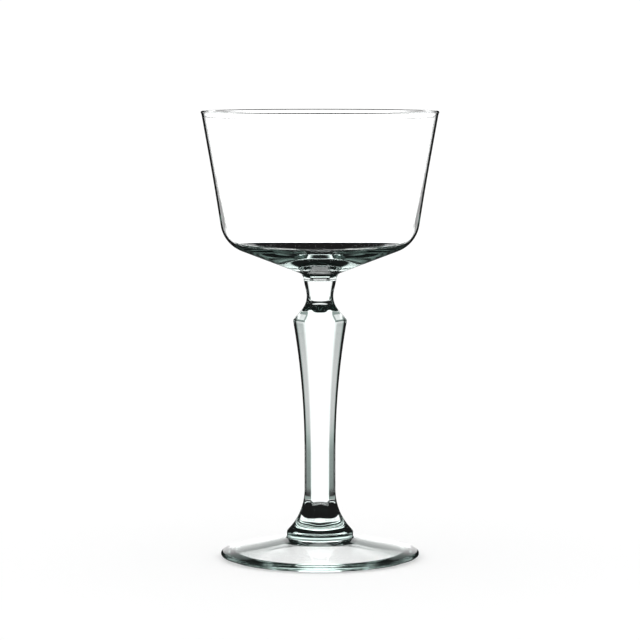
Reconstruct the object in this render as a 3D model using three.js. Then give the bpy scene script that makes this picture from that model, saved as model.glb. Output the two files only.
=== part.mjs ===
// Fizz glass: a blown bowl and a pressed foot, fused to the two ends of a pressed stem with six facets.
// Millimetres, +Z up, origin on the table under the middle of the foot.
import * as THREE from "three";

// Heights above the table
const RIM_HEIGHT = 165.4;
const BOWL_WELD_HEIGHT = 103.6;
const FOOT_WELD_HEIGHT = 9.6;

// Bowl
const RIM_RADIUS = 43.8;
const RIM_LIP = 0.3; // how far the fire-polished rim stands proud of the wall
const RIM_DEPTH = 1.3; // height of the rim's bead
const RIM_ROUNDING = 0.54;
const MOUTH_RADIUS = 42.75;
const WAIST_HEIGHT = 137.9; // where the wall bends from its lower taper to its upper flare
const WAIST_RADIUS = 38.85;
const WAIST_BEND = 900;
const WALL_AT_WAIST = 0.8;
const CORNER_RADIUS = 35.5; // where the wall and the underside would meet if the corner were sharp
const CORNER_HEIGHT = 116.5;
const CORNER_ROUNDING = 12;
const INNER_CORNER_RADIUS = 33.65;
const INNER_CORNER_HEIGHT = 116.25;
const INNER_CORNER_ROUNDING = 8.5;
const FLOOR_HEIGHT = 111; // inside floor at the axis
const FLOOR_FLAT_RADIUS = 5.5; // where the sloping floor would meet the flat middle if the bend were sharp
const FLOOR_ROUNDING = 58;
const BOWL_WELD_RADIUS = 6.15;
const WELD_BLEND_HEIGHT = 105.3; // where the underside would meet the weld if the blend were sharp
const WELD_BLEND_RADIUS = 6.3;
const WELD_BLEND = 2.5;

// Stem, measured over the edges between facets
const NECK_RADIUS = 4.25; // where the two neck tapers would meet if the neck were sharp
const NECK_HEIGHT = 95.1;
const NECK_ROUNDING = 8;
const SHOULDER_RADIUS = 10;
const SHOULDER_HEIGHT = 88.3;
const SHOULDER_ROUNDING = 1.5;
const SHAFT_RADIUS = 5.75;
const SHAFT_TAPER_HEIGHT = 63.5; // where the shoulder's taper would reach the shaft radius
const SHAFT_TAPER_ROUNDING = 285;
const FLARE_HEIGHT = 16.45; // where the flare would leave the shaft radius if the bend were sharp
const FLARE_ROUNDING = 21;
const FLARE_END_RADIUS = 12;
const FLARE_END_HEIGHT = 10.2;
const FOOT_WELD_RADIUS = 12.2;
const FACET_COUNT = 6;
const FACET_POWER = 22; // edge sharpness of the facets: 2 is a plain circle, higher is a sharper hexagon
const CIRCLE_POWER = 2;
const FACETS_FULL = [21, 91]; // between these heights the facets are at full sharpness
const FACETS_GONE = [11, 95.5]; // outside these heights the stem is round

// Foot
const FOOT_RADIUS = 36.8;
const KICK_HEIGHT = 3.65; // hollow under the middle of the foot
const KICK_FLAT_RADIUS = 13; // where the hollow's sloping side would meet its flat top if the bend were sharp
const KICK_ROUNDING = 10;
const REST_RING_RADIUS = 31.6; // inside edge of the flat ring the glass stands on
const REST_EDGE_RADIUS = 34.2;
const REST_EDGE_ROUNDING = 3;
const EDGE_LOW_HEIGHT = 1;
const EDGE_LOW_ROUNDING = 0.8;
const EDGE_TOP_HEIGHT = 2.3;
const EDGE_TOP_INSET = 0.05;
const EDGE_TOP_ROUNDING = 0.9;
const TOP_SLOPE = 0.213; // rise of the foot's upper face towards the stem
const BOSS_RADIUS = 12.3;
const BOSS_FILLET = 0.5;

// Fineness of the faceted solids
const CHORD_ERROR = 0.03;
const BOWL_SEGMENTS = 64;
const FOOT_SEGMENTS = 60;
const STEM_SEGMENTS = 48;
const STEM_STEP = 3.2; // tallest gap between two rings of the stem

const GLASS_COLOUR = 0xe6efec;
const GLASS_ROUGHNESS = 0.04;

// The points of an outline given as corners [radius, height, rounding], with an arc at each rounded corner.
function outline(corners) {
  const points = [];
  corners.forEach(([radius, height, rounding], i) => {
    const corner = new THREE.Vector2(radius, height);
    if (!rounding) {
      points.push(corner);
      return;
    }
    const back = new THREE.Vector2(...corners[i - 1]).sub(corner).normalize();
    const ahead = new THREE.Vector2(...corners[i + 1]).sub(corner).normalize();
    const halfAngle = Math.acos(back.dot(ahead)) / 2;
    const turn = Math.PI - 2 * halfAngle;
    const toCentre = back.clone().add(ahead).setLength(rounding / Math.sin(halfAngle));
    const centre = corner.clone().add(toCentre);
    const start = back.clone().multiplyScalar(rounding / Math.tan(halfAngle)).add(corner);
    const side = Math.sign(ahead.cross(back));
    const steps = Math.ceil(turn / (2 * Math.acos(1 - CHORD_ERROR / rounding)));
    for (let k = 0; k <= steps; k += 1) {
      points.push(start.clone().rotateAround(centre, (side * turn * k) / steps));
    }
  });
  return points;
}

// A solid of revolution about +Z, from an outline that runs from the axis, round the outside and back.
function revolve(points, segments) {
  return new THREE.LatheGeometry(points, segments).rotateX(Math.PI / 2);
}

// Points of an outline with long spans divided, so that no ring is further than STEM_STEP from the next.
function divided(points) {
  const rings = [points[0]];
  for (let i = 1; i < points.length; i += 1) {
    const pieces = Math.ceil(points[i].distanceTo(points[i - 1]) / STEM_STEP);
    for (let k = 1; k <= pieces; k += 1) {
      rings.push(points[i - 1].clone().lerp(points[i], k / pieces));
    }
  }
  return rings;
}

// How far the stem is cut to facets at a height: 0 is round, 1 is fully faceted.
function facetShare(height) {
  const low = THREE.MathUtils.smoothstep(height, FACETS_GONE[0], FACETS_FULL[0]);
  const high = 1 - THREE.MathUtils.smoothstep(height, FACETS_FULL[1], FACETS_GONE[1]);
  return low * high;
}

// Distance from the axis to the stem's skin, as a share of the distance to an edge between facets.
// The three terms are the distances to the three pairs of opposite facets.
function facetReach(angle, height) {
  const power = 1 / THREE.MathUtils.lerp(1 / CIRCLE_POWER, 1 / FACET_POWER, facetShare(height));
  const reach = (a) => {
    let sum = 0;
    for (let pair = 0; pair < FACET_COUNT / 2; pair += 1) {
      sum += Math.abs(Math.cos(a - (pair * 2 * Math.PI) / FACET_COUNT)) ** power;
    }
    return sum ** (-1 / power);
  };
  return reach(angle) / reach(Math.PI / FACET_COUNT);
}

// A solid lofted through faceted rings, with flat ends, from an outline of edge radii that runs downwards.
function loftFacets(points, segments) {
  const last = points.length - 1;
  const positions = [0, 0, points[0].y, 0, 0, points[last].y];
  const faces = [];
  const at = (ring, k) => 2 + ring * segments + (k % segments);
  points.forEach(({ x: edgeRadius, y: height }) => {
    for (let k = 0; k < segments; k += 1) {
      const angle = (2 * Math.PI * k) / segments;
      const radius = edgeRadius * facetReach(angle, height);
      // Angle 0 is the middle of the facet that faces the front, -Y.
      positions.push(radius * Math.sin(angle), -radius * Math.cos(angle), height);
    }
  });
  for (let k = 0; k < segments; k += 1) {
    faces.push(0, at(0, k), at(0, k + 1), 1, at(last, k + 1), at(last, k));
    for (let ring = 0; ring < last; ring += 1) {
      faces.push(at(ring, k), at(ring + 1, k), at(ring, k + 1));
      faces.push(at(ring, k + 1), at(ring + 1, k), at(ring + 1, k + 1));
    }
  }
  const geometry = new THREE.BufferGeometry();
  geometry.setAttribute("position", new THREE.Float32BufferAttribute(positions, 3));
  geometry.setIndex(faces);
  geometry.computeVertexNormals();
  return geometry;
}

const bowlOutline = outline([
  [0, BOWL_WELD_HEIGHT],
  [BOWL_WELD_RADIUS, BOWL_WELD_HEIGHT],
  [WELD_BLEND_RADIUS, WELD_BLEND_HEIGHT, WELD_BLEND],
  [CORNER_RADIUS, CORNER_HEIGHT, CORNER_ROUNDING],
  [WAIST_RADIUS, WAIST_HEIGHT, WAIST_BEND],
  [RIM_RADIUS - RIM_LIP, RIM_HEIGHT - RIM_DEPTH],
  [RIM_RADIUS, RIM_HEIGHT - RIM_DEPTH / 2, RIM_LIP / 2],
  [RIM_RADIUS, RIM_HEIGHT, RIM_ROUNDING],
  [MOUTH_RADIUS, RIM_HEIGHT, RIM_ROUNDING],
  [WAIST_RADIUS - WALL_AT_WAIST, WAIST_HEIGHT, WAIST_BEND],
  [INNER_CORNER_RADIUS, INNER_CORNER_HEIGHT, INNER_CORNER_ROUNDING],
  [FLOOR_FLAT_RADIUS, FLOOR_HEIGHT, FLOOR_ROUNDING],
  [0, FLOOR_HEIGHT],
]);

const stemOutline = outline([
  [BOWL_WELD_RADIUS, BOWL_WELD_HEIGHT],
  [NECK_RADIUS, NECK_HEIGHT, NECK_ROUNDING],
  [SHOULDER_RADIUS, SHOULDER_HEIGHT, SHOULDER_ROUNDING],
  [SHAFT_RADIUS, SHAFT_TAPER_HEIGHT, SHAFT_TAPER_ROUNDING],
  [SHAFT_RADIUS, FLARE_HEIGHT, FLARE_ROUNDING],
  [FLARE_END_RADIUS, FLARE_END_HEIGHT],
  [FOOT_WELD_RADIUS, FOOT_WELD_HEIGHT],
]);

const bossFootHeight = EDGE_TOP_HEIGHT + (FOOT_RADIUS - EDGE_TOP_INSET - BOSS_RADIUS) * TOP_SLOPE;
const footOutline = outline([
  [0, KICK_HEIGHT],
  [KICK_FLAT_RADIUS, KICK_HEIGHT, KICK_ROUNDING],
  [REST_RING_RADIUS, 0],
  [REST_EDGE_RADIUS, 0, REST_EDGE_ROUNDING],
  [FOOT_RADIUS, EDGE_LOW_HEIGHT, EDGE_LOW_ROUNDING],
  [FOOT_RADIUS - EDGE_TOP_INSET, EDGE_TOP_HEIGHT, EDGE_TOP_ROUNDING],
  [BOSS_RADIUS, bossFootHeight, BOSS_FILLET],
  [BOSS_RADIUS, FOOT_WELD_HEIGHT],
  [0, FOOT_WELD_HEIGHT],
]);

const glass = new THREE.Group();
const pieces = {
  bowl: revolve(bowlOutline, BOWL_SEGMENTS),
  stem: loftFacets(divided(stemOutline), STEM_SEGMENTS),
  foot: revolve(footOutline, FOOT_SEGMENTS),
};
Object.entries(pieces).forEach(([name, geometry]) => {
  const material = new THREE.MeshStandardMaterial({
    color: GLASS_COLOUR,
    roughness: GLASS_ROUGHNESS,
    metalness: 0,
  });
  const mesh = new THREE.Mesh(geometry, material);
  mesh.name = name;
  glass.add(mesh);
});

export default glass;
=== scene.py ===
import math

import bpy
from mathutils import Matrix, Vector


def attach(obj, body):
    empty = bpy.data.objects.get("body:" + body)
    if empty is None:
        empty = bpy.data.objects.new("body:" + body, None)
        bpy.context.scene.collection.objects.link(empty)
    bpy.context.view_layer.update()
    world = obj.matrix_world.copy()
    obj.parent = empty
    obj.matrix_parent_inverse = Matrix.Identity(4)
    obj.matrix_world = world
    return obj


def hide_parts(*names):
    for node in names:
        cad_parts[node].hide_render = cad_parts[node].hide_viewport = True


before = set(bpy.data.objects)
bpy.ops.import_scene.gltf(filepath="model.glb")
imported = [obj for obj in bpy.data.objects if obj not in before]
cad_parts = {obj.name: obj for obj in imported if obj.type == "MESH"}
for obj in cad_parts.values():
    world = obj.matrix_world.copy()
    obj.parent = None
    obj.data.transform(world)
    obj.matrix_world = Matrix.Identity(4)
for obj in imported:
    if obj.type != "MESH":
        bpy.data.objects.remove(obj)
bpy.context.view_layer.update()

MM = 0.001

# Heights and radii in millimetres, as in the part's own drawing
RIM_HEIGHT = 165.4
BOWL_WELD_HEIGHT = 103.6
FOOT_WELD_HEIGHT = 9.6

# The gap between fused faces and the groove round the bowl's weld, each measured from the weld to one side
WELD_GAP = 0.01
WELD_GROOVE = 0.14

# Outlines as corners of radius, height and rounding
BOWL_OUTLINE = [
    (5.9, BOWL_WELD_HEIGHT + WELD_GAP, 0),
    (6.15, BOWL_WELD_HEIGHT + WELD_GROOVE, 0),
    (6.3, 105.3, 2.5),
    (35.5, 116.5, 12),
    (38.85, 137.9, 900),
    (43.5, 164.1, 0),
    (43.8, 164.75, 0.15),
    (43.8, RIM_HEIGHT, 0.54),
    (42.75, RIM_HEIGHT, 0.54),
    (38.05, 137.9, 900),
    (33.65, 116.25, 8.5),
    (5.5, 111, 58),
    (0, 111, 0),
]
STEM_OUTLINE = [
    (5.9, BOWL_WELD_HEIGHT - WELD_GAP, 0),
    (6.12, BOWL_WELD_HEIGHT - WELD_GROOVE, 0),
    (4.25, 95.1, 8),
    (10, 88.3, 1.5),
    (5.75, 63.5, 285),
    (5.75, 16.45, 21),
    (12, 10.2, 0),
    (12.2, FOOT_WELD_HEIGHT + WELD_GAP, 0),
]
FOOT_OUTLINE = [
    (12.3, FOOT_WELD_HEIGHT - WELD_GAP, 0),
    (12.3, 7.508, 0.5),
    (36.75, 2.3, 0.9),
    (36.8, 1, 0.8),
    (34.2, 0, 3),
    (31.6, 0, 0),
    (13, 3.65, 10),
    (0, 3.65, 0),
]
PAIRS_OF_FACETS = 3
FACET_POWER = 22
FACETS_FULL = (21, 91)
FACETS_GONE = (11, 95.5)

# Fineness of the meshes: points to a ring, degrees to a step of an arc, and the longest step of each outline
RING_POINTS = 192
ARC_STEP = 3.0
BOWL_STEP = 2.0
STEM_STEP = 0.8
FOOT_STEP = 1.0
CREASE_ANGLE = math.radians(40)
ON_AXIS = 1e-4


def outline(corners, longest):
    """Points of an outline of (radius, height, rounding) corners, with an arc at each rounded corner."""
    points = []
    for i, (radius, height, rounding) in enumerate(corners):
        corner = Vector((radius, height))
        if not rounding:
            points.append(corner)
            continue
        back = (Vector(corners[i - 1][:2]) - corner).normalized()
        ahead = (Vector(corners[i + 1][:2]) - corner).normalized()
        half = back.angle(ahead) / 2
        turn = math.pi - 2 * half
        centre = corner + (back + ahead).normalized() * (rounding / math.sin(half))
        arm = corner + back * (rounding / math.tan(half)) - centre
        side = math.copysign(1, ahead.x * back.y - ahead.y * back.x)
        steps = max(2, math.ceil(math.degrees(turn) / ARC_STEP), math.ceil(turn * rounding / longest))
        for k in range(steps + 1):
            a = side * turn * k / steps
            across = arm.x * math.cos(a) - arm.y * math.sin(a)
            up = arm.x * math.sin(a) + arm.y * math.cos(a)
            points.append(centre + Vector((across, up)))
    full = [points[0]]
    for p in points[1:]:
        q = full[-1].copy()
        pieces = max(1, math.ceil((p - q).length / longest))
        full += [q.lerp(p, k / pieces) for k in range(1, pieces + 1)]
    return full


def turn_up(name, points):
    """Draws a round piece up from a circle, ring by ring: each ring is extruded, lifted and resized."""
    bpy.ops.object.select_all(action="DESELECT")
    here = points[0]
    bpy.ops.mesh.primitive_circle_add(
        vertices=RING_POINTS, radius=here.x * MM, fill_type="NOTHING",
        location=(0, 0, here.y * MM), rotation=(0, 0, math.pi / 2),
    )
    piece = bpy.context.object
    piece.name = name
    bpy.ops.object.transform_apply(location=True, rotation=True, scale=True)
    bpy.ops.object.mode_set(mode="EDIT")
    bpy.ops.mesh.select_all(action="SELECT")
    for p in points[1:]:
        bpy.ops.mesh.extrude_edges_move(TRANSFORM_OT_translate={"value": (0, 0, (p.y - here.y) * MM)})
        if p.x < ON_AXIS:
            bpy.ops.mesh.merge(type="CENTER")
        else:
            k = p.x / here.x
            bpy.ops.transform.resize(value=(k, k, 1), center_override=(0, 0, p.y * MM))
        here = p
    return piece


def close_ends(piece):
    """Closes every open end of a piece in edit mode with a flat face and turns all its faces outwards."""
    bpy.ops.mesh.select_mode(type="EDGE")
    bpy.ops.mesh.select_all(action="DESELECT")
    bpy.ops.mesh.select_non_manifold(
        extend=False, use_wire=False, use_multi_face=False, use_non_contiguous=False, use_verts=False,
    )
    bpy.ops.mesh.edge_face_add()
    bpy.ops.mesh.select_all(action="SELECT")
    bpy.ops.mesh.normals_make_consistent(inside=False)
    bpy.ops.object.mode_set(mode="OBJECT")
    if sum(face.center.dot(face.normal) * face.area for face in piece.data.polygons) < 0:
        bpy.ops.object.mode_set(mode="EDIT")
        bpy.ops.mesh.flip_normals()
        bpy.ops.object.mode_set(mode="OBJECT")


def smooth_step(x, start, end):
    t = min(1, max(0, (x - start) / (end - start)))
    return t * t * (3 - 2 * t)


def facet_reach(angle, power):
    """Distance to the skin at an angle from the middle of a facet. A higher power is a sharper hexagon."""
    turns = [k * math.pi / PAIRS_OF_FACETS for k in range(PAIRS_OF_FACETS)]
    return sum(abs(math.cos(angle - turn)) ** power for turn in turns) ** (-1 / power)


def press_facets(piece):
    """Presses the six facets into the round stem, at full sharpness between neck and flare."""
    bpy.ops.object.mode_set(mode="OBJECT")
    for v in piece.data.vertices:
        z = v.co.z / MM
        low = smooth_step(z, FACETS_GONE[0], FACETS_FULL[0])
        high = 1 - smooth_step(z, FACETS_FULL[1], FACETS_GONE[1])
        power = 1 / (0.5 + (1 / FACET_POWER - 0.5) * low * high)
        angle = math.atan2(v.co.x, -v.co.y)
        k = facet_reach(angle, power) / facet_reach(math.pi / (2 * PAIRS_OF_FACETS), power)
        v.co.x *= k
        v.co.y *= k
    bpy.ops.object.mode_set(mode="EDIT")


bowl = turn_up("blown_bowl", outline(BOWL_OUTLINE, BOWL_STEP))
close_ends(bowl)
stem = turn_up("pressed_stem", outline(STEM_OUTLINE, STEM_STEP))
press_facets(stem)
close_ends(stem)
foot = turn_up("pressed_foot", outline(FOOT_OUTLINE, FOOT_STEP))
close_ends(foot)

# The fused faces are marked, so that light passes them straight on
LEVEL_FACE = 0.999
NEAR_WELD = 0.05
WELDS = {bowl: [BOWL_WELD_HEIGHT], stem: [BOWL_WELD_HEIGHT, FOOT_WELD_HEIGHT], foot: [FOOT_WELD_HEIGHT]}
for piece, heights in WELDS.items():
    weld = piece.data.attributes.new("weld", "FLOAT", "FACE")
    for face in piece.data.polygons:
        flat = abs(face.normal.z) > LEVEL_FACE
        fused = any(abs(face.center.z / MM - h) < NEAR_WELD for h in heights)
        weld.data[face.index].value = 1.0 if flat and fused else 0.0
    bpy.ops.object.select_all(action="DESELECT")
    piece.select_set(True)
    bpy.context.view_layer.objects.active = piece
    bpy.ops.object.shade_smooth_by_angle(angle=CREASE_ANGLE)


def node(tree, kind, inputs=(), **settings):
    """Adds a shader node with its settings, and a value or a link on each named input."""
    made = tree.nodes.new("ShaderNode" + kind)
    for key, value in settings.items():
        setattr(made, key, value)
    for key, value in dict(inputs).items():
        if isinstance(value, bpy.types.NodeSocket):
            tree.links.new(value, made.inputs[key])
        else:
            made.inputs[key].default_value = value
    return made


def maths(tree, operation, *values):
    return node(tree, "Math", dict(enumerate(values)), operation=operation).outputs[0]


def ease(tree, value, start, end, low=0.0, high=1.0):
    """Eases from low to high while the value passes from start to end."""
    limits = {"Value": value, "From Min": start, "From Max": end, "To Min": low, "To Max": high}
    return node(tree, "MapRange", limits, interpolation_type="SMOOTHSTEP").outputs["Result"]


# The bend of light in glass and where two pieces are fused, the green in its depth, and the unevenness of its skin
GLASS_BEND = 1.52
FUSED_BEND = 1.0
GREEN_CAST = (0.55, 0.86, 0.78, 1)
GREEN_DEPTH = 12.0
POLISH_GRAIN = 90.0
WAVE_HEIGHT = 0.00001


def clear_glass(name, smoothest, roughest, wave_size):
    """Clear glass with a green cast in its depth, a slightly uneven polish and a slow wave in its skin."""
    made = bpy.data.materials.new(name)
    made.use_nodes = True
    tree = made.node_tree
    shader = tree.nodes["Principled BSDF"]
    shader.inputs["Base Color"].default_value = (1, 1, 1, 1)
    shader.inputs["Transmission Weight"].default_value = 1.0
    shader.inputs["IOR"].default_value = GLASS_BEND
    place = node(tree, "TexCoord").outputs["Object"]
    polish = node(tree, "TexNoise", {"Vector": place, "Scale": POLISH_GRAIN, "Detail": 2.0}).outputs["Fac"]
    rough = ease(tree, polish, 0.3, 0.7, smoothest, roughest)
    tree.links.new(rough, shader.inputs["Roughness"])
    wave = node(tree, "TexNoise", {"Vector": place, "Scale": 1 / wave_size, "Detail": 0.0}).outputs["Fac"]
    skin = node(tree, "Bump", {"Strength": 1.0, "Distance": WAVE_HEIGHT, "Height": wave})
    tree.links.new(skin.outputs["Normal"], shader.inputs["Normal"])
    fused = node(tree, "Attribute", attribute_name="weld").outputs["Fac"]
    ior = node(tree, "MapRange", {"Value": fused, "To Min": GLASS_BEND, "To Max": FUSED_BEND})
    tree.links.new(ior.outputs["Result"], shader.inputs["IOR"])
    absorb = node(tree, "VolumeAbsorption", {"Color": GREEN_CAST, "Density": GREEN_DEPTH})
    tree.links.new(absorb.outputs["Volume"], tree.nodes["Material Output"].inputs["Volume"])
    return made


blown_glass = clear_glass("blown_clear_glass", 0.0, 0.002, 0.02)
pressed_glass = clear_glass("pressed_clear_glass", 0.012, 0.028, 0.008)
finishes = [(bowl, blown_glass, "bowl"), (stem, pressed_glass, "stem"), (foot, pressed_glass, "foot")]
for piece, finish, part in finishes:
    piece.data.materials.append(finish)
    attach(piece, "root")
    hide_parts(part)

# A white paper floor, seen by the camera but not through the glass
FLOOR_SIZE = 6
FLOOR_DROP = 0.0001
PAPER_WHITE = (0.98, 0.98, 0.98, 1)
bpy.ops.object.select_all(action="DESELECT")
bpy.ops.mesh.primitive_plane_add(size=FLOOR_SIZE, location=(0, 0, -FLOOR_DROP))
floor = bpy.context.object
floor.name = "studio_floor"
floor.visible_transmission = False
floor.visible_glossy = False
paper = bpy.data.materials.new("white_paper")
paper.use_nodes = True
paper_shader = paper.node_tree.nodes["Principled BSDF"]
paper_shader.inputs["Base Color"].default_value = PAPER_WHITE
paper_shader.inputs["Roughness"].default_value = 0.9
paper_shader.inputs["Specular IOR Level"].default_value = 0.0
floor.data.materials.append(paper)

# The studio around: white to the camera, and white panels with dark gaps between them in the glass.
# Directions are degrees around from straight behind the glass, and degrees up from level.
ROOM_WHITE = 1.05
PANEL_WHITE = 1.25
GAP_BLACK = 0.012
studio = bpy.data.worlds.new("studio")
bpy.context.scene.world = studio
studio.use_nodes = True
w = studio.node_tree
w.nodes.clear()
out = node(w, "OutputWorld")
surround = node(w, "Background")
w.links.new(surround.outputs[0], out.inputs[0])
path = node(w, "LightPath").outputs
where = node(w, "SeparateXYZ", {0: node(w, "TexCoord").outputs["Generated"]}).outputs
turned = maths(w, "ABSOLUTE", maths(w, "ARCTAN2", where[0], where[1]))
around = maths(w, "MULTIPLY", turned, 180 / math.pi)
height = maths(w, "MULTIPLY", maths(w, "ARCSINE", where[2]), 180 / math.pi)


def both(*values):
    made = values[0]
    for v in values[1:]:
        made = maths(w, "MULTIPLY", made, v)
    return made


def either(*values):
    made = values[0]
    for v in values[1:]:
        made = maths(w, "MAXIMUM", made, v)
    return made


def mix(share, value, other):
    """Goes from a value to another by a share."""
    return node(w, "Mix", {"Factor": share, "A": value, "B": other}).outputs["Result"]


def band(value, start, end, soft):
    """Full between start and end, and nothing outside them, with soft edges."""
    half = soft / 2
    return both(ease(w, value, start - half, start + half), ease(w, value, end + half, end - half))


def panel(middle, reach, lowest, highest, soft):
    """A white panel with soft edges: its middle and half width around, and its lowest and highest edge."""
    return both(band(around, middle - reach, middle + reach, soft), band(height, lowest, highest, soft))


def unless(share, value):
    """Takes a share off a value."""
    return both(value, maths(w, "SUBTRACT", 1.0, share))


# How often the light met a face of the glass, counted with the step that reaches the panels
meetings = path["Ray Depth"]
odd_turns = maths(w, "SUBTRACT", 1.0, maths(w, "MODULO", meetings, 2.0))
one_turn = band(meetings, 3.5, 4.5, 0.1)
first_turns = ease(w, meetings, 4.6, 4.4)
many_turns = ease(w, meetings, 5.4, 5.6)
few_turns = ease(w, meetings, 8.6, 8.4)

# What the thin blown wall shows: white behind and paler at the sides.
# Light that turned back an odd number of times inside the wall, at the edges of the bowl, stays dark.
core = both(panel(0, 16, -13, 7, 2), 1.8)
sides = both(panel(66, 38, -42, 20, 5), ease(w, height, -18, -12, 0.85, 1.2))
low_sides = both(panel(43, 11, -45, -14, 4), 2.0)
back = both(panel(142, 36, -34, 14, 4), 1.3)
far_level = both(ease(w, around, 56, 64), band(height, -13, 9, 4))
near_behind = both(ease(w, around, 34, 26), band(height, -60, 12, 4))
turned_back = both(odd_turns, either(far_level, near_behind))
not_deep = ease(w, meetings, 9.6, 9.4, 0.2, 1.0)
in_wall = both(unless(turned_back, either(core, sides, low_sides, back)), not_deep)

# What the thick pressed pieces show: white behind, darker to the sides and low down, and grey above.
# Smaller panels at the corners, the sides and the front are for the views from there.
low_side = either(ease(w, around, 37, 32), ease(w, height, -11, -3, 0.2, 0.85))
behind = both(ease(w, around, 43, 39), band(height, -28, 22, 4), low_side)
above = both(band(height, 32, 56, 5), first_turns, 0.3)
back_corner = either(both(panel(45, 11, -31, -18, 4), 0.3), panel(45, 8, -34, -26.8, 2))
front_corner = panel(135, 16, -32, -6, 4)
side = panel(90, 6, -12, 18, 4)
front = both(panel(178, 14, -30, 0, 4), 0.5)
straight_on = either(behind, above, back_corner, front_corner, side, front)

# Light that turned back once in the foot is dimmer from higher up
veil = both(one_turn, ease(w, around, 14, 8), band(height, 7, 19, 3), 0.8)

# Light that turned often in the glass shows only a few small lamps
top_lamp = both(ease(w, around, 30, 26), band(height, 16, 38, 3), 3.0)
low_lamp = both(ease(w, around, 46, 42), band(height, -38, -12, 3), few_turns, 1.5)
flare_lamp = both(panel(66, 16, 14, 34, 4), few_turns, 1.2)
side_lamp = both(panel(56, 6, 5, 12, 2), 0.8)
back_lamp = both(panel(140, 24, -29, 2, 4), few_turns)
lamps = either(top_lamp, low_lamp, flare_lamp, side_lamp, back_lamp)
in_solid = mix(many_turns, unless(veil, straight_on), lamps)

# What the glass mirrors on its skin. The blown wall is polished like a mirror and the pressed glass is not.
pressed = maths(w, "SUBTRACT", 1.0, path["Is Singular Ray"])
on_skin = mix(pressed, panel(64, 40, -24, 20, 5), panel(0, 7, -14, 24, 3))

through = path["Is Transmission Ray"]
inside = mix(both(through, pressed), in_wall, in_solid)
lit = mix(through, on_skin, inside)
panels = maths(w, "MULTIPLY_ADD", lit, PANEL_WHITE, GAP_BLACK)

# Only light that met no matt surface on its way sees the panels
from_glass = maths(w, "LESS_THAN", path["Diffuse Depth"], 0.5)
in_glass = both(either(through, path["Is Glossy Ray"]), from_glass)
w.links.new(mix(in_glass, ROOM_WHITE, panels), surround.inputs["Strength"])

# The half tones lean to the green of the glass
WHITE_TONE = (1, 1, 1, 1)
GREEN_TONE = (0.85, 1, 0.95, 1)
half_tone = both(in_glass, band(lit, 0.1, 0.45, 0.2))
tint = node(w, "Mix", {6: WHITE_TONE, 7: GREEN_TONE, "Factor": half_tone}, data_type="RGBA")
w.links.new(tint.outputs[2], surround.inputs["Color"])

scene = bpy.context.scene
scene.view_settings.view_transform = "Standard"

# Light may turn many times in thick glass
MOST_TURNS = 32
scene.cycles.max_bounces = MOST_TURNS
scene.cycles.transmission_bounces = MOST_TURNS
scene.cycles.glossy_bounces = MOST_TURNS

# The camera stands a little above the rim and looks down on the middle of the glass
DISTANCE = 1.108
LOOKING_DOWN = math.radians(4.95)
AIM_HEIGHT = 0.0883
FOCAL_LENGTH = 168.75
lens = bpy.data.cameras.new("camera")
lens.lens = FOCAL_LENGTH
lens.sensor_width = 36
lens.clip_start = 0.01
camera = bpy.data.objects.new("camera", lens)
bpy.context.collection.objects.link(camera)
camera.location = (0, -DISTANCE * math.cos(LOOKING_DOWN), AIM_HEIGHT + DISTANCE * math.sin(LOOKING_DOWN))
camera.rotation_euler = (math.pi / 2 - LOOKING_DOWN, 0, 0)
scene.camera = camera
